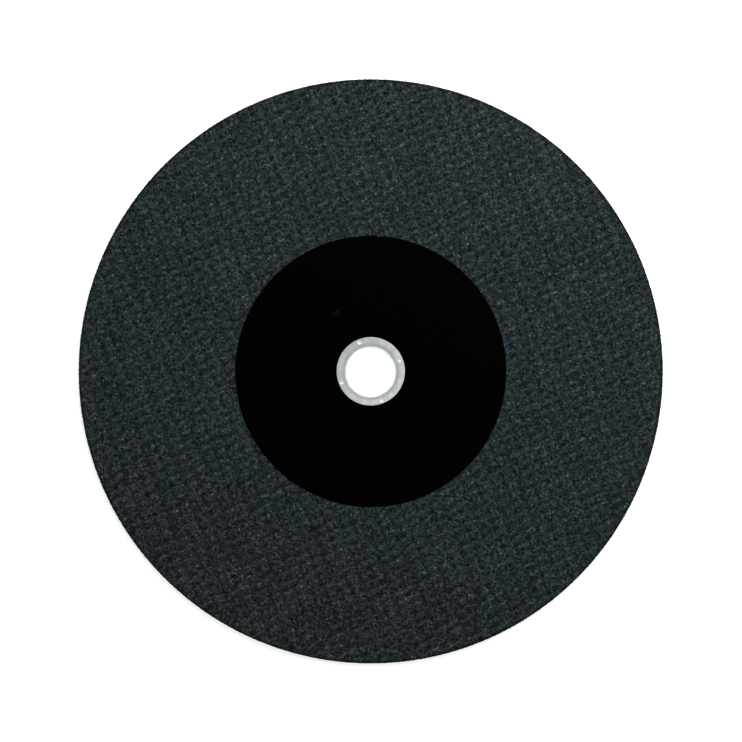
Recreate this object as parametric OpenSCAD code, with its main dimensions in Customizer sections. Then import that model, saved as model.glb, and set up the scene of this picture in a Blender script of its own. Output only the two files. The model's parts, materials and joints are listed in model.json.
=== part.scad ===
// Reinforced cut-off wheel: a pressed disc of resin-bonded abrasive, a round paper label
// and a flanged sheet-metal ring that lines the arbor hole.
// The wheel lies on its back face with the label up. The bore axis is Z and the back face
// is at z = 0. All sizes are in millimetres.

/* [Abrasive disc] */
// Outside diameter of the disc
wheel_d = 300; // [230:1:410]
// Thickness of the disc
wheel_t = 3.2; // [2.4:0.1:6]
// Radius of the moulded corner on both sides of the rim
rim_round = 0.4; // [0.1:0.05:1]

/* [Label] */
// Diameter of the paper label
label_d = 139; // [80:1:200]
// Thickness of the paper
label_t = 0.2; // [0.1:0.05:0.4]

/* [Arbor ring] */
// Diameter of the bore that takes the arbor
bore_d = 25.4; // [16:0.1:40]
// Thickness of the ring's sheet metal
sheet_t = 0.5; // [0.4:0.05:0.8]
// Inside radius of the bend between the collar and the flange
bend_r = 0.3; // [0.1:0.05:0.5]
// Width of the flange, from the bore wall to its outer edge
flange_w = 4.8; // [4:0.1:8]
// Radius of the rolled-over upper edge of the flange
flange_round = 0.2; // [0.05:0.05:0.3]
// Height of the flange above the label
flange_proud = 0.1; // [0.05:0.05:0.2]
// Distance from the collar's end to the back face of the disc
collar_setback = 0.3; // [0.1:0.05:0.6]

/* [Stakes] */
// Number of punched stakes that lock the flange to the disc
stake_count = 4; // [3:1:8]
// Angle of the first stake about the bore axis, in degrees
stake_angle = 21; // [0:1:90]
// Distance from the flange's outer edge to the middle of a stake
stake_inset = 1.6; // [1.3:0.1:2]
// Radius of the round nose that punched the stakes
punch_r = 1.8; // [1.4:0.1:2.2]
// Depth of a stake in the flange's upper face
stake_depth = 0.32; // [0.24:0.02:0.4]

/* [Clearances] */
// Gap between the collar and the hole through the disc
collar_gap = 0.1; // [0.05:0.05:0.3]
// Gap between the flange's edge and the step in the label
seat_gap = 0.1; // [0.05:0.05:0.3]
// Gap round the underside of a stake
stake_gap = 0.05; // [0.02:0.01:0.1]

/* [Hidden] */
$fn = 128;

wheel_r = wheel_d / 2;
label_r = label_d / 2;
bore_r = bore_d / 2;
collar_r = bore_r + sheet_t;
flange_r = bore_r + flange_w;
disc_hole_r = collar_r + collar_gap;
label_hole_r = disc_hole_r + bend_r;

// The label dips under the flange, so its step and the disc's recess are one sheet apart.
label_step_r = flange_r + seat_gap;
recess_r = label_step_r + label_t;

label_top_z = wheel_t + label_t;
flange_top_z = label_top_z + flange_proud;
flange_under_z = flange_top_z - sheet_t;
recess_z = flange_under_z - label_t;
bend_z = flange_under_z - bend_r;

stake_circle_r = flange_r - stake_inset;
punch_z = flange_top_z + punch_r - stake_depth;
stake_under_r = punch_r + sheet_t;

// Copies its children to the middle of every stake.
module at_stakes() {
    for (i = [0:stake_count - 1])
        rotate(stake_angle + i * 360 / stake_count)
            translate([stake_circle_r, 0, 0])
                children();
}

// Room for the rounded underside of a stake.
module stake_pockets() {
    at_stakes()
        translate([0, 0, punch_z])
            sphere(r = stake_under_r + stake_gap);
}

// Half section of the disc: rounded rim, recess for the flange, and a hole whose upper edge
// is broken to clear the bend of the ring.
module disc_section() {
    polygon([
        [disc_hole_r, 0],
        [wheel_r - rim_round, 0],
        [wheel_r - rim_round, wheel_t],
        [recess_r, wheel_t],
        [recess_r, recess_z],
        [disc_hole_r + bend_r, recess_z],
        [disc_hole_r, bend_z - label_t]
    ]);
    translate([wheel_r - rim_round, rim_round]) {
        translate([-rim_round, 0])
            square([2 * rim_round, wheel_t - 2 * rim_round]);
        for (z = [0, wheel_t - 2 * rim_round])
            translate([0, z])
                circle(r = rim_round);
    }
}

module abrasive_disc() {
    color([0.15, 0.18, 0.19])
        difference() {
            rotate_extrude()
                disc_section();
            stake_pockets();
        }
}

// Half section of the label: flat on the disc, down the step and under the flange.
module label_section() {
    polygon([
        [label_hole_r, recess_z],
        [recess_r, recess_z],
        [recess_r, wheel_t],
        [label_r, wheel_t],
        [label_r, label_top_z],
        [label_step_r, label_top_z],
        [label_step_r, flange_under_z],
        [label_hole_r, flange_under_z]
    ]);
}

module centre_label() {
    color([0.02, 0.02, 0.02])
        difference() {
            rotate_extrude()
                label_section();
            stake_pockets();
        }
}

// Half section of the ring: straight collar, quarter bend and flat flange with a rolled edge.
module ring_section() {
    flange_edge_r = flange_r - flange_round;
    mouth_r = bend_r + sheet_t;
    translate([bore_r, collar_setback])
        square([sheet_t, bend_z - collar_setback]);
    translate([bore_r + mouth_r, bend_z])
        intersection() {
            difference() {
                circle(r = mouth_r);
                circle(r = bend_r);
            }
            translate([-mouth_r, 0])
                square(mouth_r);
        }
    translate([bore_r + mouth_r, flange_under_z])
        square([flange_edge_r - bore_r - mouth_r, sheet_t]);
    translate([flange_edge_r, flange_under_z]) {
        translate([-flange_round, 0])
            square([2 * flange_round, sheet_t - flange_round]);
        translate([0, sheet_t - flange_round])
            circle(r = flange_round);
    }
}

// Underside of a stake: the part of the ball that the punch pushes out below the flange.
module stake_underside() {
    intersection() {
        translate([0, 0, punch_z])
            sphere(r = stake_under_r);
        translate([0, 0, flange_under_z - 2 * stake_depth])
            cylinder(r = stake_under_r, h = 2 * stake_depth + sheet_t / 2);
    }
}

module arbor_ring() {
    color([0.74, 0.75, 0.75])
        difference() {
            union() {
                rotate_extrude()
                    ring_section();
                at_stakes()
                    stake_underside();
            }
            at_stakes()
                translate([0, 0, punch_z])
                    sphere(r = punch_r);
        }
}

abrasive_disc();
centre_label();
arbor_ring();
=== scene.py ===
import json
import math

import bpy
import numpy as np
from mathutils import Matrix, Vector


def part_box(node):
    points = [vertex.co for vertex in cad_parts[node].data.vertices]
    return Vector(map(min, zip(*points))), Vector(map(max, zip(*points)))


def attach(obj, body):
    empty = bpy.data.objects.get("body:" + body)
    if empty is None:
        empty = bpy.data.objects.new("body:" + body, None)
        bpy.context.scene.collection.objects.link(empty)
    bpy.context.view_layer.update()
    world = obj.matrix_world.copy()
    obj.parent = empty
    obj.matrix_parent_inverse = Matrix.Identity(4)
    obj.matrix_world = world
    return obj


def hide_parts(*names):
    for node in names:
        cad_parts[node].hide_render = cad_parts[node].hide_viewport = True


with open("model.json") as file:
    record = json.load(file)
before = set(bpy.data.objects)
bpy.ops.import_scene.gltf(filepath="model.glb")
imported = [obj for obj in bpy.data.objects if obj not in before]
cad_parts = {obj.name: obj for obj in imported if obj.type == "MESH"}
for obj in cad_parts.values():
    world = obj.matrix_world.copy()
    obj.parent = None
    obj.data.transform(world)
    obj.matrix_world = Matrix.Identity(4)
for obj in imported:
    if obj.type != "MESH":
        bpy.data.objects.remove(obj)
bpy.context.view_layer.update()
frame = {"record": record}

# Abrasive disc
# The wheel itself: dark grit bonded with resin, pressed hot in a flat mould over glass-fibre mesh.
# The weave of the mesh prints through to both faces as low ridges, and the colour darkens round the
# rim: painted shade of the rounded edge, which turns away from the light.
MM = 0.001
_, disc_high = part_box("abrasive_disc")
label_low, label_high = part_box("centre_label")
ring_low, ring_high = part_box("arbor_ring")
mounts = {mount["name"]: mount for mount in frame["record"]["mounts"]}

wheel_r = max(disc_high.x, disc_high.y)
wheel_t = disc_high.z
label_r = max(label_high.x, label_high.y)
flange_r = max(ring_high.x, ring_high.y)
bore_r = mounts["arbor_bore"]["dims"]["r_mm"] * MM
label_t = label_high.z - wheel_t
recess_z = label_low.z
sheet_t = ring_high.z - recess_z - label_t
collar_gap = 0.1 * MM
seat_gap = 0.1 * MM
disc_hole_r = bore_r + sheet_t + collar_gap
recess_r = flange_r + seat_gap + label_t

grit_room = 0.22 * MM
rim_round = 0.4 * MM
rim_corner_points = 4
disc_turns = 640
front_step = 1.3 * MM
back_step = 2.2 * MM
hidden_step = 8 * MM
disc_crease = math.radians(40)

weave_angle = math.radians(20.8)
weft_pitch = 4.98 * MM
warp_pitch = 13.45 * MM
# The spots of one cell of the mesh: place along and across it, half sizes in cells, and height.
# The crowns only colour the face: paler spots that are partly the yarns' own tone and partly painted light on
# the lit sides of the weave's hollows.
yarn_crowns_and_highlights = (
    (0.48, 0.87, 0.087, 0.143, 0.82),
    (0.66, 0.88, 0.083, 0.183, 1.00),
    (0.97, 0.67, 0.150, 0.147, 0.78),
    (0.18, 0.69, 0.060, 0.166, 0.83),
)
yarn_floats = (
    (0.57, 0.87, 0.20, 0.20, 0.80),
    (0.05, 0.68, 0.22, 0.20, 0.80),
)
mesh_openings = (
    (0.32, 0.19, 0.114, 0.275, -0.64),
    (0.82, 0.90, 0.22, 0.34, -0.59),
)
warp_wander = 7 * MM
warp_wander_scale = 9
weft_wander = 2 * MM
weft_wander_scale = 11
weave_height = 0.20 * MM
waviness_height = 0.05 * MM
waviness_scale = 260
print_fade = 1 * MM
back_margin = 1 * MM


def arc(centre_r, centre_z, radius, start_deg, end_deg, count):
    """Points of a round corner in the half section, from one angle to the other."""
    angles = np.radians(np.linspace(start_deg, end_deg, count))
    return [(centre_r + radius * math.cos(a), centre_z + radius * math.sin(a)) for a in angles]


def straight(start, end, step):
    """Evenly spaced points from start towards end, without the end itself."""
    length = math.dist(start, end)
    count = max(1, round(length / step))
    along = [i / count for i in range(count)]
    return [tuple(s + (e - s) * t for s, e in zip(start, end)) for t in along]


def lathe(name, section, turns):
    """Closed mesh of a half section, listed counter-clockwise, turned round the Z axis."""
    section = np.array(section)
    size = len(section)
    angles = np.linspace(0, 2 * math.pi, turns, endpoint=False)
    points = np.empty((turns, size, 3))
    points[:, :, 0] = np.cos(angles)[:, None] * section[:, 0]
    points[:, :, 1] = np.sin(angles)[:, None] * section[:, 0]
    points[:, :, 2] = section[:, 1]
    here = np.arange(turns)[:, None] * size
    ahead = np.roll(here, -1, axis=0)
    at = np.arange(size)[None, :]
    above = np.roll(at, -1, axis=1)
    faces = np.stack([here + at, ahead + at, ahead + above, here + above], axis=2)
    mesh = bpy.data.meshes.new(name)
    mesh.from_pydata(points.reshape(-1, 3).tolist(), [], faces.reshape(-1, 4).tolist())
    return mesh


def place(name, mesh):
    """Puts a mesh in the scene as an object at the origin."""
    piece = bpy.data.objects.new(name, mesh)
    bpy.context.scene.collection.objects.link(piece)
    return piece


def disc_section():
    """Half section of the disc, set in a little from the moulded outline to leave room for grit."""
    edge_r = wheel_r - grit_room
    corner_r = edge_r - rim_round
    back_z = grit_room
    hole_back = (disc_hole_r, back_z)
    back_edge = (corner_r, back_z)
    front_edge = (corner_r, wheel_t)
    label_edge = (label_r - front_step, wheel_t)
    recess_edge = (recess_r, wheel_t)
    section = straight(hole_back, back_edge, back_step)
    section += arc(corner_r, back_z + rim_round, rim_round, -90, 0, rim_corner_points)
    section += arc(corner_r, wheel_t - rim_round, rim_round, 0, 90, rim_corner_points)
    section += straight(front_edge, label_edge, front_step)[1:]
    section += straight(label_edge, recess_edge, hidden_step)
    section += [recess_edge, (recess_r, recess_z), (disc_hole_r, recess_z)]
    return section


def feed(tree, value, socket):
    """Links a socket to an input, or writes a plain value on it."""
    if isinstance(value, bpy.types.NodeSocket):
        tree.links.new(value, socket)
    else:
        socket.default_value = value


def sums(tree, operation, *values):
    """One Math node, as the socket of its result."""
    node = tree.nodes.new("ShaderNodeMath")
    node.operation = operation
    for value, socket in zip(values, node.inputs):
        feed(tree, value, socket)
    return node.outputs[0]


def split(tree, vector):
    """The X, Y and Z sockets of a vector."""
    node = tree.nodes.new("ShaderNodeSeparateXYZ")
    feed(tree, vector, node.inputs[0])
    return node.outputs


def vector_of(tree, x, y, z):
    """A vector from three numbers or sockets."""
    node = tree.nodes.new("ShaderNodeCombineXYZ")
    for value, socket in zip((x, y, z), node.inputs):
        feed(tree, value, socket)
    return node.outputs[0]


def radius_of(tree, x, y):
    """How far a point lies from an upright axis, from its two offsets."""
    square = sums(tree, "ADD", sums(tree, "MULTIPLY", x, x), sums(tree, "MULTIPLY", y, y))
    return sums(tree, "SQRT", square)


def remap(tree, value, low, high, out_low=0.0, out_high=1.0):
    """Takes the span low to high to another span, held at both ends and eased between them."""
    node = tree.nodes.new("ShaderNodeMapRange")
    node.interpolation_type = "SMOOTHSTEP"
    for given, socket in zip((value, low, high, out_low, out_high), node.inputs):
        feed(tree, given, socket)
    return node.outputs[0]


def noise(tree, vector, scale, detail=3.0, roughness=0.55):
    """Noise from 0 to 1, with scale in waves per metre."""
    node = tree.nodes.new("ShaderNodeTexNoise")
    feed(tree, vector, node.inputs["Vector"])
    node.inputs["Scale"].default_value = scale
    node.inputs["Detail"].default_value = detail
    node.inputs["Roughness"].default_value = roughness
    return node.outputs[0]


def swing(tree, vector, scale, **settings):
    """Noise that swings to both sides of zero."""
    return sums(tree, "SUBTRACT", noise(tree, vector, scale, **settings), 0.5)


def turned(tree, vector, angle):
    """A vector turned about the bore axis."""
    node = tree.nodes.new("ShaderNodeVectorRotate")
    node.rotation_type = "Z_AXIS"
    feed(tree, vector, node.inputs["Vector"])
    node.inputs["Angle"].default_value = angle
    return node.outputs[0]


def wrapped(tree, value, shift):
    """A value less a shift, counted in cells of the weave and brought between -0.5 and 0.5."""
    ahead = sums(tree, "FRACT", sums(tree, "ADD", value, 0.5 - shift))
    return sums(tree, "SUBTRACT", ahead, 0.5)


def swelling(tree, along, across, spot):
    """A soft oval hump in each cell, from its place, its half sizes in cells and its height."""
    at_along, at_across, half_along, half_across, height = spot
    over = sums(tree, "DIVIDE", wrapped(tree, along, at_along), half_along)
    up = sums(tree, "DIVIDE", wrapped(tree, across, at_across), half_across)
    square = sums(tree, "MULTIPLY_ADD", over, over, sums(tree, "MULTIPLY", up, up))
    slope = sums(tree, "EXPONENT", sums(tree, "MULTIPLY", square, -1.0))
    return sums(tree, "MULTIPLY", slope, height)


def weave(tree, position, spots):
    """Print of the glass mesh: the humps and hollows of each cell, on yarns that wander a little."""
    along, across, _ = split(tree, turned(tree, position, -weave_angle))
    warp_drift = swing(tree, position, warp_wander_scale, detail=1.0)
    weft_drift = swing(tree, position, weft_wander_scale, detail=1.0)
    along = sums(tree, "MULTIPLY_ADD", warp_drift, warp_wander, along)
    across = sums(tree, "MULTIPLY_ADD", weft_drift, weft_wander, across)
    column = sums(tree, "DIVIDE", along, warp_pitch)
    row = sums(tree, "DIVIDE", across, weft_pitch)
    height, *others = [swelling(tree, column, row, spot) for spot in spots]
    for other in others:
        height = sums(tree, "ADD", height, other)
    return height


def node_group(name, inputs):
    """A geometry node tree with a geometry input, the named number inputs and a geometry output."""
    tree = bpy.data.node_groups.new(name, "GeometryNodeTree")
    tree.interface.new_socket("Geometry", in_out="INPUT", socket_type="NodeSocketGeometry")
    for title in inputs:
        tree.interface.new_socket(title, in_out="INPUT", socket_type="NodeSocketFloat")
    tree.interface.new_socket("Geometry", in_out="OUTPUT", socket_type="NodeSocketGeometry")
    return tree, tree.nodes.new("NodeGroupInput").outputs, tree.nodes.new("NodeGroupOutput").inputs[0]


def position_of(tree):
    """Where each point of the geometry lies."""
    return tree.nodes.new("GeometryNodeInputPosition").outputs[0]


def facing_of(tree):
    """How far each point of the surface faces up, from -1 to 1."""
    normal = tree.nodes.new("GeometryNodeInputNormal").outputs[0]
    return split(tree, normal)[2]


def set_position(tree, geometry, offset=None, position=None):
    """Moves the points of a geometry by an offset or to a position."""
    node = tree.nodes.new("GeometryNodeSetPosition")
    tree.links.new(geometry, node.inputs["Geometry"])
    if offset is not None:
        tree.links.new(offset, node.inputs["Offset"])
    if position is not None:
        tree.links.new(position, node.inputs["Position"])
    return node.outputs[0]


def close_tree(tree, geometry, material, result):
    """Ends a tree: what it made becomes a plain mesh in one material."""
    plain = tree.nodes.new("GeometryNodeRealizeInstances")
    tree.links.new(geometry, plain.inputs[0])
    coat = tree.nodes.new("GeometryNodeSetMaterial")
    coat.inputs["Material"].default_value = material
    tree.links.new(plain.outputs[0], coat.inputs["Geometry"])
    tree.links.new(coat.outputs[0], result)


def run_nodes(piece, tree, values):
    """Evaluates a node tree on a piece and leaves the result as its plain mesh."""
    modifier = piece.modifiers.new(tree.name, "NODES")
    modifier.node_group = tree
    for item in tree.interface.items_tree:
        if item.in_out == "INPUT" and item.name in values:
            modifier[item.identifier] = values[item.name]
    scene_now = bpy.context.evaluated_depsgraph_get()
    shown = piece.evaluated_get(scene_now)
    made = bpy.data.meshes.new_from_object(shown, preserve_all_data_layers=True, depsgraph=scene_now)
    piece.modifiers.clear()
    piece.data = made


def weave_print(material):
    """Node tree that raises the weave and the unevenness of the grit on both faces of the disc."""
    tree, given, result = node_group("weave_print", ["Weave height", "Waviness", "Front start", "Back start"])
    position = position_of(tree)
    facing = facing_of(tree)
    x, y, _ = split(tree, position)
    front = sums(tree, "GREATER_THAN", facing, 0.0)
    reach = sums(tree, "SUBTRACT", given["Front start"], given["Back start"])
    start = sums(tree, "MULTIPLY_ADD", front, reach, given["Back start"])
    shown = remap(tree, sums(tree, "SUBTRACT", radius_of(tree, x, y), start), 0.0, print_fade)
    yarns = weave(tree, position, yarn_floats + mesh_openings)
    ridges = sums(tree, "MULTIPLY", yarns, given["Weave height"])
    uneven = swing(tree, position, waviness_scale)
    height = sums(tree, "MULTIPLY_ADD", uneven, given["Waviness"], ridges)
    lift = sums(tree, "MULTIPLY", sums(tree, "MULTIPLY", height, shown), facing)
    moved = set_position(tree, given["Geometry"], offset=vector_of(tree, 0.0, 0.0, lift))
    close_tree(tree, moved, material, result)
    return tree


resin_dark = (0.0014, 0.0042, 0.0050, 1)
resin_light = (0.0385, 0.053, 0.058, 1)
resin_cool = (0.90, 0.92, 0.95, 1)
resin_warm = (1.10, 1.08, 1.05, 1)
resin_even = (1, 1, 1, 1)
# Painted shade: darker and browner towards the lower left, the side away from the lamp.
shaded_side_brown = (0.985, 0.95, 0.915, 1)
shaded_side_angle = math.radians(247)
shaded_side_from = 0.35 * wheel_r
shaded_side_to = 0.75 * wheel_r
# Painted light and shade: the face is paler on the yarns and darker in the mesh openings, partly the resin's
# own tone and partly light and shade of the weave's relief.
weave_tone_and_shade = 0.78
# Painted shade: the face darkens towards the rim, where the rounded edge turns from the light.
rim_shade_tone = 0.48
rim_shade_inner_r = wheel_r - 2.0 * MM
rim_shade_outer_r = wheel_r - 0.8 * MM
tint_scale = 60
tint_span = (0.35, 0.65)
speck_scale = 620
speck_span = (0.32, 0.71)
grain_scale = 1500
resin_roughness = (0.85, 0.55)
resin_gloss = 0.05
resin_bump = 0.25 * MM
resin_bump_strength = 0.65


def material_for(name):
    """A new material, its node tree, its main shader and the object coordinates."""
    material = bpy.data.materials.new(name)
    material.use_nodes = True
    tree = material.node_tree
    coords = tree.nodes.new("ShaderNodeTexCoord").outputs["Object"]
    return material, tree, tree.nodes["Principled BSDF"].inputs, coords


def blend_colour(tree, factor, low, high):
    """A colour between two, by a factor from 0 to 1."""
    node = tree.nodes.new("ShaderNodeMix")
    node.data_type = "RGBA"
    for value, socket in zip((factor, low, high), (node.inputs[0], node.inputs[6], node.inputs[7])):
        feed(tree, value, socket)
    return node.outputs[2]


def scaled(tree, vector, factor):
    """A colour or a direction times a number."""
    node = tree.nodes.new("ShaderNodeVectorMath")
    node.operation = "SCALE"
    tree.links.new(vector, node.inputs[0])
    feed(tree, factor, node.inputs["Scale"])
    return node.outputs[0]


def filtered(tree, colour, tint):
    """A colour multiplied by another one, channel by channel."""
    node = tree.nodes.new("ShaderNodeVectorMath")
    node.operation = "MULTIPLY"
    tree.links.new(colour, node.inputs[0])
    tree.links.new(tint, node.inputs[1])
    return node.outputs[0]


def bump(tree, height, distance, strength):
    """A surface normal roughened by a height from 0 to 1."""
    node = tree.nodes.new("ShaderNodeBump")
    node.inputs["Strength"].default_value = strength
    node.inputs["Distance"].default_value = distance
    tree.links.new(height, node.inputs["Height"])
    return node.outputs[0]


def towards(tree, coords, angle):
    """How far a point lies from the bore axis in one direction of the wheel's plane."""
    x, y, _ = split(tree, coords)
    return sums(tree, "MULTIPLY_ADD", y, math.sin(angle), sums(tree, "MULTIPLY", x, math.cos(angle)))


def face_tone_and_shade(tree, coords):
    """Lightness of the face: paler on the yarns of the weave, partly their own tone and partly painted light
    and shade of the weave's relief, and darker round the rim with painted shade.
    """
    yarns = weave(tree, coords, yarn_crowns_and_highlights + mesh_openings)
    yarn_tone_and_shade = sums(tree, "MULTIPLY_ADD", yarns, weave_tone_and_shade, 1.0)
    x, y, _ = split(tree, coords)
    rim_shade = remap(tree, radius_of(tree, x, y), rim_shade_inner_r, rim_shade_outer_r, 1.0, rim_shade_tone)
    return sums(tree, "MULTIPLY", yarn_tone_and_shade, rim_shade)


def tinted(tree, colour, coords):
    """A colour that drifts between darker and cool and lighter and warm, and turns darker and browner towards
    the side away from the lamp: painted shade.
    """
    drift = remap(tree, noise(tree, coords, tint_scale, detail=2.0), *tint_span)
    colour = filtered(tree, colour, blend_colour(tree, drift, resin_cool, resin_warm))
    shaded_side = remap(tree, towards(tree, coords, shaded_side_angle), shaded_side_from, shaded_side_to)
    return filtered(tree, colour, blend_colour(tree, shaded_side, resin_even, shaded_side_brown))


def resin_material():
    """Dark resin between the grains: uneven, dull, a little paler on the yarns of the weave with partly
    painted light and shade, and darker round the rim with painted shade.
    """
    material, tree, shader, coords = material_for("dark_resin")
    specks = remap(tree, noise(tree, coords, speck_scale, detail=4.0, roughness=0.7), *speck_span)
    colour = scaled(tree, blend_colour(tree, specks, resin_dark, resin_light), face_tone_and_shade(tree, coords))
    tree.links.new(tinted(tree, colour, coords), shader["Base Color"])
    tree.links.new(remap(tree, specks, 0.0, 1.0, *resin_roughness), shader["Roughness"])
    shader["Specular IOR Level"].default_value = resin_gloss
    grit = noise(tree, coords, grain_scale, detail=3.0, roughness=0.65)
    tree.links.new(bump(tree, grit, resin_bump, resin_bump_strength), shader["Normal"])
    return material


disc = place("abrasive_disc_face", lathe("abrasive_disc_face", disc_section(), disc_turns))
run_nodes(disc, weave_print(resin_material()), {
    "Weave height": weave_height,
    "Waviness": waviness_height,
    "Front start": label_r,
    "Back start": disc_hole_r + back_margin,
})
disc.data.shade_smooth()
disc.data.set_sharp_from_angle(angle=disc_crease)
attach(disc, "root")
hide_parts("abrasive_disc")

# Grit
# Angular grains of the abrasive, one to two millimetres across, sunk in the skin of resin on both
# faces, and finer ones round the rim. The mould presses the highest ones down to one level.
grain_small = 0.44 * MM
grain_large = 1.05 * MM
rim_grain_small = 0.26 * MM
rim_grain_large = 0.60 * MM
grain_sides = 4
grain_rings = 2
grain_sink = 0.30 * MM
grain_lift = 0.02 * MM
front_grains_per_m2 = 415000
back_grains_per_m2 = 320000
rim_grains_per_m2 = 1500000
grit_margin = 0.7 * MM
press_top = wheel_t + grit_room
outline_margin = 0.05 * MM
face_limit = 0.9
no_limit = 2.0


def random_span(tree, low, high, seed, vector=False):
    """Random numbers or vectors between two limits, from a fixed seed."""
    node = tree.nodes.new("FunctionNodeRandomValue")
    node.data_type = "FLOAT_VECTOR" if vector else "FLOAT"
    sockets = [socket for socket in node.inputs if socket.enabled]
    feed(tree, low, sockets[0])
    feed(tree, high, sockets[1])
    node.inputs["Seed"].default_value = seed
    return next(socket for socket in node.outputs if socket.enabled)


def grain_seats(tree, given, field, seed):
    """Points scattered over a field of the surface, each sunk into the resin by its own depth."""
    scatter = tree.nodes.new("GeometryNodeDistributePointsOnFaces")
    tree.links.new(given["Geometry"], scatter.inputs["Mesh"])
    tree.links.new(field, scatter.inputs["Selection"])
    tree.links.new(given["Grains per area"], scatter.inputs["Density"])
    scatter.inputs["Seed"].default_value = seed
    deepest = sums(tree, "MULTIPLY", given["Sink"], -1.0)
    depth = random_span(tree, deepest, given["Lift"], seed + 1)
    offset = scaled(tree, scatter.outputs["Normal"], depth)
    return set_position(tree, scatter.outputs["Points"], offset=offset)


def grains_on(tree, given, seats, seed):
    """A plain mesh of one angular grain on each seat, turned and sized at random, with its own tone."""
    grain = tree.nodes.new("GeometryNodeMeshUVSphere")
    grain.inputs["Segments"].default_value = grain_sides
    grain.inputs["Rings"].default_value = grain_rings
    grain.inputs["Radius"].default_value = 1.0
    stand = tree.nodes.new("GeometryNodeInstanceOnPoints")
    tree.links.new(seats, stand.inputs["Points"])
    tree.links.new(grain.outputs["Mesh"], stand.inputs["Instance"])
    full_turn = (2 * math.pi,) * 3
    rotation = random_span(tree, (0.0, 0.0, 0.0), full_turn, seed + 2, vector=True)
    tree.links.new(rotation, stand.inputs["Rotation"])
    smallest = vector_of(tree, *[given["Smallest"]] * 3)
    largest = vector_of(tree, *[given["Largest"]] * 3)
    size = random_span(tree, smallest, largest, seed + 3, vector=True)
    tree.links.new(size, stand.inputs["Scale"])
    tone = tree.nodes.new("GeometryNodeStoreNamedAttribute")
    tone.domain = "INSTANCE"
    tone.data_type = "FLOAT"
    tone.inputs["Name"].default_value = "grain_tone"
    tree.links.new(stand.outputs[0], tone.inputs["Geometry"])
    tree.links.new(random_span(tree, 0.0, 1.0, seed + 4), tone.inputs["Value"])
    loose = tree.nodes.new("GeometryNodeRealizeInstances")
    tree.links.new(tone.outputs[0], loose.inputs[0])
    return loose.outputs[0]


def grit_tree(name, material, seed):
    """Node tree that scatters sunk, turned grains on a surface and presses them to the outline."""
    tree, given, result = node_group(name, [
        "Grains per area", "Smallest", "Largest", "Sink", "Lift", "Inner radius",
        "Facing low", "Facing high", "Top", "Bottom", "Outer radius",
    ])
    x, y, z = split(tree, position_of(tree))
    facing = facing_of(tree)
    radius = radius_of(tree, x, y)
    outside = sums(tree, "GREATER_THAN", radius, given["Inner radius"])
    above = sums(tree, "GREATER_THAN", facing, given["Facing low"])
    below = sums(tree, "LESS_THAN", facing, given["Facing high"])
    field = sums(tree, "MULTIPLY", sums(tree, "MULTIPLY", outside, above), below)
    grains = grains_on(tree, given, grain_seats(tree, given, field, seed), seed)
    level = sums(tree, "MAXIMUM", sums(tree, "MINIMUM", z, given["Top"]), given["Bottom"])
    inward = sums(tree, "MINIMUM", 1.0, sums(tree, "DIVIDE", given["Outer radius"], radius))
    pressed = vector_of(tree, sums(tree, "MULTIPLY", x, inward), sums(tree, "MULTIPLY", y, inward), level)
    flat = tree.nodes.new("GeometryNodeSetShadeSmooth")
    flat.inputs["Shade Smooth"].default_value = False
    tree.links.new(set_position(tree, grains, position=pressed), flat.inputs[0])
    close_tree(tree, flat.outputs[0], material, result)
    return tree


grain_dark = (0.0014, 0.0034, 0.0041, 1)
grain_light = (0.0705, 0.083, 0.087, 1)
grain_tone_power = 2.0
grain_speck_share = 0.38
grain_roughness = (0.75, 0.42)
grain_gloss = 0.09
grain_bump = 0.12 * MM
grain_bump_strength = 0.45


def grit_material():
    """Resin-stained grains: each its own grey, broken by fine specks, with a dull crystal gloss."""
    material, tree, shader, coords = material_for("stained_grit")
    own = tree.nodes.new("ShaderNodeAttribute")
    own.attribute_name = "grain_tone"
    tone = sums(tree, "POWER", own.outputs["Fac"], grain_tone_power)
    specks = noise(tree, coords, grain_scale, detail=3.0, roughness=0.6)
    mixed = sums(tree, "MULTIPLY_ADD", sums(tree, "SUBTRACT", specks, 0.5), grain_speck_share, tone)
    # The grains take the face's tone too, with its painted light and shade of the weave and the rim.
    colour = scaled(tree, blend_colour(tree, mixed, grain_dark, grain_light), face_tone_and_shade(tree, coords))
    tree.links.new(tinted(tree, colour, coords), shader["Base Color"])
    tree.links.new(remap(tree, own.outputs["Fac"], 0.0, 1.0, *grain_roughness), shader["Roughness"])
    shader["Specular IOR Level"].default_value = grain_gloss
    tree.links.new(bump(tree, specks, grain_bump, grain_bump_strength), shader["Normal"])
    return material


stained_grit = grit_material()
grit_seeds = {"grit_front": 11, "grit_rim": 23, "grit_back": 37}
grit_fields = {
    "grit_front": {
        "Grains per area": front_grains_per_m2, "Smallest": grain_small, "Largest": grain_large,
        "Inner radius": label_r + grit_margin, "Facing low": face_limit, "Facing high": no_limit,
    },
    "grit_rim": {
        "Grains per area": rim_grains_per_m2, "Smallest": rim_grain_small, "Largest": rim_grain_large,
        "Inner radius": label_r, "Facing low": -face_limit, "Facing high": face_limit,
    },
    "grit_back": {
        "Grains per area": back_grains_per_m2, "Smallest": grain_small, "Largest": grain_large,
        "Inner radius": disc_hole_r + grit_margin, "Facing low": -no_limit, "Facing high": -face_limit,
    },
}
grit_pressing = {
    "Sink": grain_sink, "Lift": grain_lift,
    "Top": press_top, "Bottom": 0.0, "Outer radius": wheel_r - outline_margin,
}
for field_name, field_sizes in grit_fields.items():
    grit = place(field_name, disc.data.copy())
    field_tree = grit_tree(field_name, stained_grit, grit_seeds[field_name])
    run_nodes(grit, field_tree, field_sizes | grit_pressing)
    grit.data.materials.clear()
    grit.data.materials.append(stained_grit)
    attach(grit, "root")

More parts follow.
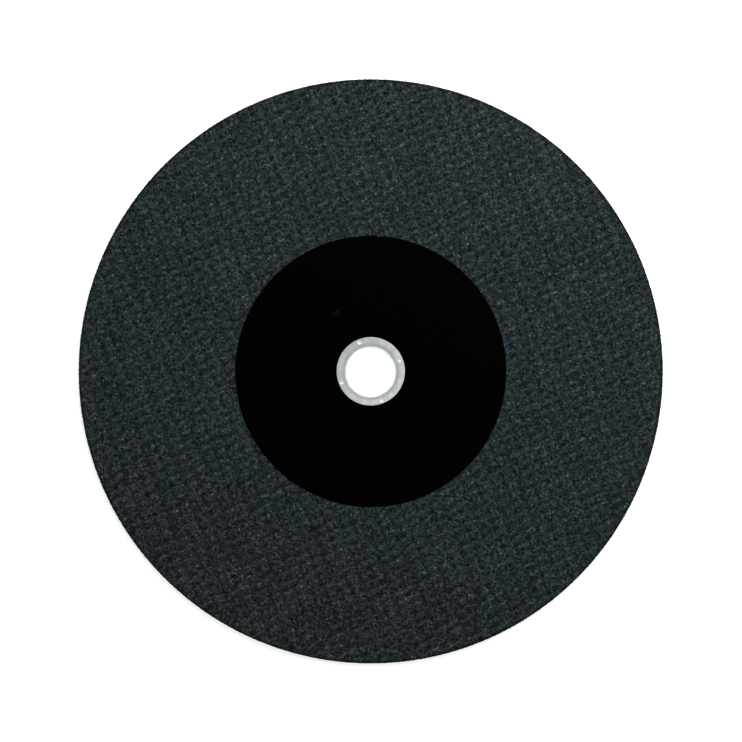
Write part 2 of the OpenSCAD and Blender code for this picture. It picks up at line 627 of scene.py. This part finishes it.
# Centre label
# A round label of black coated paper, laid in the mould and stuck to the front face by the resin.
# Its middle is pressed down under the flange of the ring, and the grit below shows faintly through.
label_turns = 360
label_step = 1.6 * MM
label_hole_gap = 0.3 * MM
label_crease = math.radians(40)
paper_round = 0.06 * MM
paper_edge_points = 4
hollow_depth = 0.035 * MM
hollow_scale = 420
hollow_fade = 3 * MM
top_margin = 0.01 * MM


def label_section():
    """Half section of the label: under the flange, up the step, and out to the cut edge."""
    hole_r = disc_hole_r + label_hole_gap
    step_r = recess_r - label_t
    under_top = recess_z + label_t
    outer_low = (label_r, wheel_t)
    edge = (label_r - paper_round, label_high.z - paper_round)
    section = straight((hole_r, recess_z), (recess_r, recess_z), label_step)
    section += [(recess_r, recess_z)]
    section += straight((recess_r, wheel_t), outer_low, label_step)
    section += [outer_low]
    section += arc(*edge, paper_round, 0, 90, paper_edge_points)
    section += straight((label_r - 2 * paper_round, label_high.z), (step_r, label_high.z), label_step)
    section += [(step_r, label_high.z), (step_r, under_top), (hole_r, under_top)]
    return section


def paper_print(material):
    """Node tree that sinks the top of the paper slightly where the grit below leaves hollows."""
    tree, given, result = node_group("paper_print", ["Hollow depth", "Top", "Inner radius", "Outer radius"])
    position = position_of(tree)
    x, y, z = split(tree, position)
    radius = radius_of(tree, x, y)
    on_top = sums(tree, "GREATER_THAN", z, sums(tree, "SUBTRACT", given["Top"], top_margin))
    clear_in = remap(tree, sums(tree, "SUBTRACT", radius, given["Inner radius"]), 0.0, hollow_fade)
    clear_out = remap(tree, sums(tree, "SUBTRACT", given["Outer radius"], radius), 0.0, hollow_fade)
    hollow = sums(tree, "MULTIPLY", noise(tree, position, hollow_scale), given["Hollow depth"])
    shown = sums(tree, "MULTIPLY", sums(tree, "MULTIPLY", clear_in, clear_out), on_top)
    drop = sums(tree, "MULTIPLY", sums(tree, "MULTIPLY", hollow, shown), -1.0)
    moved = set_position(tree, given["Geometry"], offset=vector_of(tree, 0.0, 0.0, drop))
    close_tree(tree, moved, material, result)
    return tree


paper_black = (0.0002, 0.0002, 0.00022, 1)
paper_worn = (0.0052, 0.0054, 0.0055, 1)
rub_x = -17.8 * MM
rub_y = 30.2 * MM
rub_size = 3.6 * MM
rub_lean = 0.5
rub_thinness = 5.0
rub_scale = 900
rub_span = (0.3, 0.6)
fibre_scale = 2600
fibre_span = (0.2, 0.8)
paper_roughness = (0.44, 0.56)
paper_gloss = 0.015
fibre_bump = 0.03 * MM
fibre_bump_strength = 0.4


def label_material():
    """Black coated paper: fine fibres in the coat, and one faint rub mark where it was handled."""
    material, tree, shader, coords = material_for("black_label_paper")
    fibres = noise(tree, coords, fibre_scale, detail=4.0, roughness=0.6)
    x, y, _ = split(tree, coords)
    from_rub_x = sums(tree, "SUBTRACT", x, rub_x)
    from_rub_y = sums(tree, "SUBTRACT", y, rub_y)
    off_line = sums(tree, "SUBTRACT", from_rub_y, sums(tree, "MULTIPLY", from_rub_x, rub_lean))
    square = sums(tree, "MULTIPLY", off_line, sums(tree, "MULTIPLY", off_line, rub_thinness))
    away = sums(tree, "SQRT", sums(tree, "MULTIPLY_ADD", from_rub_x, from_rub_x, square))
    rub = remap(tree, away, rub_size, 0.0)
    worn = sums(tree, "MULTIPLY", rub, remap(tree, noise(tree, coords, rub_scale), *rub_span))
    tree.links.new(blend_colour(tree, worn, paper_black, paper_worn), shader["Base Color"])
    tree.links.new(remap(tree, fibres, *fibre_span, *paper_roughness), shader["Roughness"])
    shader["Specular IOR Level"].default_value = paper_gloss
    tree.links.new(bump(tree, fibres, fibre_bump, fibre_bump_strength), shader["Normal"])
    return material


label = place("centre_label_paper", lathe("centre_label_paper", label_section(), label_turns))
run_nodes(label, paper_print(label_material()), {
    "Hollow depth": hollow_depth,
    "Top": label_high.z,
    "Inner radius": recess_r - label_t,
    "Outer radius": label_r,
})
label.data.shade_smooth()
label.data.set_sharp_from_angle(angle=label_crease)
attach(label, "root")
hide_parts("centre_label")

# Arbor ring
# A ring pressed from pale plated sheet steel: a short collar in the hole, a rolled mouth and a flat
# flange over the label. Four punched stakes lock it to the wheel.
ring_turns = 720
ring_step = 0.2 * MM
collar_step = 2 * ring_step
ring_crease = math.radians(35)
bend_r = 0.3 * MM
bend_points = 6
mouth_points = 10
flange_round = 0.2 * MM
flange_edge_points = 6
stake_count = 4
stake_angle = math.radians(21)
stake_inset = 1.6 * MM
stake_circle_r = flange_r - stake_inset
punch_r = 1.8 * MM
stake_depth = 0.32 * MM
under_margin = 0.01 * MM


def ring_section():
    """Half section of the ring: collar, bend, underside and top of the flange, mouth and bore."""
    collar_r = bore_r + sheet_t
    top = ring_high.z
    under = top - sheet_t
    bend_at = (collar_r + bend_r, under - bend_r)
    edge_r = flange_r - flange_round
    section = [(bore_r, ring_low.z)]
    section += straight((collar_r, ring_low.z), (collar_r, bend_at[1]), collar_step)
    section += arc(*bend_at, bend_r, 180, 90, bend_points)
    section += straight((bend_at[0], under), (flange_r, under), ring_step)[1:]
    section += [(flange_r, under)]
    section += arc(edge_r, top - flange_round, flange_round, 0, 90, flange_edge_points)
    section += straight((edge_r, top), (bend_at[0], top), ring_step)[1:]
    section += arc(*bend_at, bend_r + sheet_t, 90, 180, mouth_points)
    section += straight((bore_r, bend_at[1]), (bore_r, ring_low.z), collar_step)[1:]
    return section


def punch_stakes(mesh):
    """Presses the stakes into the flange, on its top and its underside alike."""
    points = np.empty(len(mesh.vertices) * 3)
    mesh.vertices.foreach_get("co", points)
    points = points.reshape(-1, 3)
    on_flange = points[:, 2] > ring_high.z - sheet_t - under_margin
    for i in range(stake_count):
        angle = stake_angle + i * 2 * math.pi / stake_count
        away = np.hypot(points[:, 0] - stake_circle_r * math.cos(angle),
                        points[:, 1] - stake_circle_r * math.sin(angle))
        below_top = ring_high.z - points[:, 2]
        ball = punch_r + np.minimum(below_top, sheet_t)
        dip = np.sqrt(np.maximum(ball ** 2 - away ** 2, 0)) - (punch_r - stake_depth) - below_top
        points[:, 2] -= np.where(on_flange & (dip > 0) & (away < ball), dip, 0)
    mesh.vertices.foreach_set("co", points.ravel())
    mesh.update()


zinc_shade = (0.51, 0.53, 0.525, 1)
zinc_light = (0.64, 0.655, 0.645, 1)
# Grey of the painted shade round the mouth and round the stakes.
painted_shade_grey = (0.40, 0.405, 0.40, 1)
# Painted highlight: the pale colour of the glint in each stake.
stake_highlight = (0.82, 0.82, 0.815, 1)
cloud_scale = 260
cloud_span = (0.35, 0.65)
# The coat darkens evenly towards the upper left and lightens towards the lower right.
darker_side_angle = math.radians(120)
darker_side_tone = 0.15
# Painted shade: a patchy darker band round the mouth of the bore, where the rolled mouth turns from the
# light.
mouth_r = bore_r + 2.9 * MM
mouth_fade = 2.0 * MM
lip_r = bore_r + 1.0 * MM
lip_fade = 0.5 * MM
mouth_shade_scale = 120
mouth_shade_span = (0.35, 0.6)
mouth_shade_tone = (0.45, 1.0)
# Painted highlight: a pale spot in each stake, where the dimple catches the lamp.
stake_highlight_r = 1.05 * MM
stake_highlight_edge_r = 1.2 * MM
# Painted shade: a darker ring round each stake, where the punched dimple turns from the light.
stake_shade_r = 1.3 * MM
stake_shade_edge_r = 1.8 * MM
stake_shade_tone = 0.45
plating_metallic = 0.35
plating_scale = 700
plating_span = (0.3, 0.7)
plating_roughness = (0.50, 0.62)
stake_roughness = 0.12
mark_scale = 9000
mark_bump = 0.02 * MM
mark_bump_strength = 0.35


def from_stake(tree, coords):
    """How far a point lies from the nearest of the four stakes."""
    along, across, _ = split(tree, turned(tree, coords, -stake_angle))
    on_x = sums(tree, "SUBTRACT", sums(tree, "ABSOLUTE", along), stake_circle_r)
    on_y = sums(tree, "SUBTRACT", sums(tree, "ABSOLUTE", across), stake_circle_r)
    return sums(tree, "MINIMUM", radius_of(tree, on_x, across), radius_of(tree, on_y, along))


def ring_material():
    """Plated steel: a dull pale coat with turning marks and cloudy patches, darker towards one side, with
    painted shade round the mouth and round each stake and a painted highlight in each stake.
    """
    material, tree, shader, coords = material_for("plated_ring_steel")
    x, y, z = split(tree, coords)
    radius = radius_of(tree, x, y)
    clouds = remap(tree, noise(tree, coords, cloud_scale), *cloud_span)
    plated = blend_colour(tree, clouds, zinc_shade, zinc_light)
    # Darker towards one side, lighter towards the other.
    toward_darker_side = towards(tree, coords, darker_side_angle)
    side_tone = sums(tree, "MULTIPLY_ADD", toward_darker_side, -darker_side_tone / flange_r, 1.0)
    plated = scaled(tree, plated, side_tone)
    # Painted shade round the mouth, in patches.
    mouth = remap(tree, radius, mouth_r, mouth_r - mouth_fade)
    mouth = sums(tree, "MULTIPLY", mouth, remap(tree, radius, lip_r - lip_fade, lip_r))
    patches = remap(tree, noise(tree, coords, mouth_shade_scale), *mouth_shade_span, *mouth_shade_tone)
    painted_mouth_shade = sums(tree, "MULTIPLY", mouth, patches)
    stake_away = from_stake(tree, coords)
    # Painted highlight in each stake; the same spot is also made a little rougher.
    stake_glint = remap(tree, stake_away, stake_highlight_edge_r, stake_highlight_r)
    # Painted shade round each stake.
    pressed = remap(tree, stake_away, stake_shade_edge_r, stake_shade_r, 0.0, stake_shade_tone)
    plated = blend_colour(tree, sums(tree, "MAXIMUM", painted_mouth_shade, pressed), plated, painted_shade_grey)
    tree.links.new(blend_colour(tree, stake_glint, plated, stake_highlight), shader["Base Color"])
    shader["Metallic"].default_value = plating_metallic
    dull = remap(tree, noise(tree, coords, plating_scale), *plating_span, *plating_roughness)
    tree.links.new(sums(tree, "MULTIPLY_ADD", stake_glint, stake_roughness, dull), shader["Roughness"])
    marks = noise(tree, vector_of(tree, radius, z, 0.0), mark_scale, detail=2.0)
    tree.links.new(bump(tree, marks, mark_bump, mark_bump_strength), shader["Normal"])
    return material


ring_mesh = lathe("arbor_ring_metal", ring_section(), ring_turns)
punch_stakes(ring_mesh)
ring = place("arbor_ring_metal", ring_mesh)
ring_mesh.materials.append(ring_material())
ring_mesh.shade_smooth()
ring_mesh.set_sharp_from_angle(angle=ring_crease)
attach(ring, "root")
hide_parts("arbor_ring")

# Table
# A plain white table that the wheel lies on. It glows a little towards the camera so that it stays
# white, and still takes the soft shadow of the wheel.
table_half = 4.0
table_white = (0.80, 0.80, 0.80, 1)
table_roughness = 0.9
glow_white = (1, 1, 1, 1)
table_glow = 0.66


def seen(tree):
    """1 for rays from the camera, off gloss or through glass, and 0 for all other rays."""
    path = tree.nodes.new("ShaderNodeLightPath").outputs
    gloss = sums(tree, "MAXIMUM", path["Is Glossy Ray"], path["Is Transmission Ray"])
    return sums(tree, "MAXIMUM", path["Is Camera Ray"], gloss)


table_corners = [
    (-table_half, -table_half, 0),
    (table_half, -table_half, 0),
    (table_half, table_half, 0),
    (-table_half, table_half, 0),
]
table_mesh = bpy.data.meshes.new("table")
table_mesh.from_pydata(table_corners, [], [(0, 1, 2, 3)])
table = place("table", table_mesh)
table_paint, table_tree, table_shader, _ = material_for("white_table")
table_shader["Base Color"].default_value = table_white
table_shader["Roughness"].default_value = table_roughness
table_shader["Specular IOR Level"].default_value = 0.0
table_shader["Emission Color"].default_value = glow_white
glow = sums(table_tree, "MULTIPLY", seen(table_tree), table_glow)
table_tree.links.new(glow, table_shader["Emission Strength"])
table_mesh.materials.append(table_paint)

# Light and camera
# A white room with a dim ceiling, one large soft lamp at the upper right, and a camera straight
# above the wheel at the distance that gives it the size it has in the photograph.
room_white = (1, 1, 1, 1)
room_level = 1.0
room_dim = 0.03
dim_from = 0.90
dim_to = 0.37
lamp_side = 0.9
lamp_power = 7.2
lamp_at = (0.25, 0.49, 0.38)
lamp_colour = (0.95, 1.0, 1.04)

room = bpy.data.worlds.new("white_room")
room.use_nodes = True
room_tree = room.node_tree
up = split(room_tree, room_tree.nodes.new("ShaderNodeTexCoord").outputs["Generated"])[2]
lit = remap(room_tree, up, dim_from, dim_to, room_dim, room_level)
background = room_tree.nodes["Background"].inputs
background["Color"].default_value = room_white
feed(room_tree, lit, background["Strength"])
bpy.context.scene.world = room

lamp_data = bpy.data.lights.new("soft_lamp", "AREA")
lamp_data.shape = "SQUARE"
lamp_data.size = lamp_side
lamp_data.energy = lamp_power
lamp_data.color = lamp_colour
lamp = bpy.data.objects.new("soft_lamp", lamp_data)
lamp.location = lamp_at
lamp.rotation_euler = (-lamp.location).to_track_quat("-Z", "Y").to_euler()
lamp.visible_camera = False
bpy.context.scene.collection.objects.link(lamp)

photo_side_px = 742
wheel_radius_px = 292.6
wheel_centre_px = (370.27, 370.86)
lens_mm = 100
sensor_mm = 36
metres_per_px = wheel_r / wheel_radius_px
middle_px = (photo_side_px - 1) / 2
camera_data = bpy.data.cameras.new("camera")
camera_data.lens = lens_mm
camera_data.sensor_width = sensor_mm
camera = bpy.data.objects.new("camera", camera_data)
camera_height = wheel_t + metres_per_px * photo_side_px * lens_mm / sensor_mm
camera.location = (
    (middle_px - wheel_centre_px[0]) * metres_per_px,
    (wheel_centre_px[1] - middle_px) * metres_per_px,
    camera_height,
)
bpy.context.scene.collection.objects.link(camera)
bpy.context.scene.camera = camera
bpy.context.scene.view_settings.view_transform = "Standard"
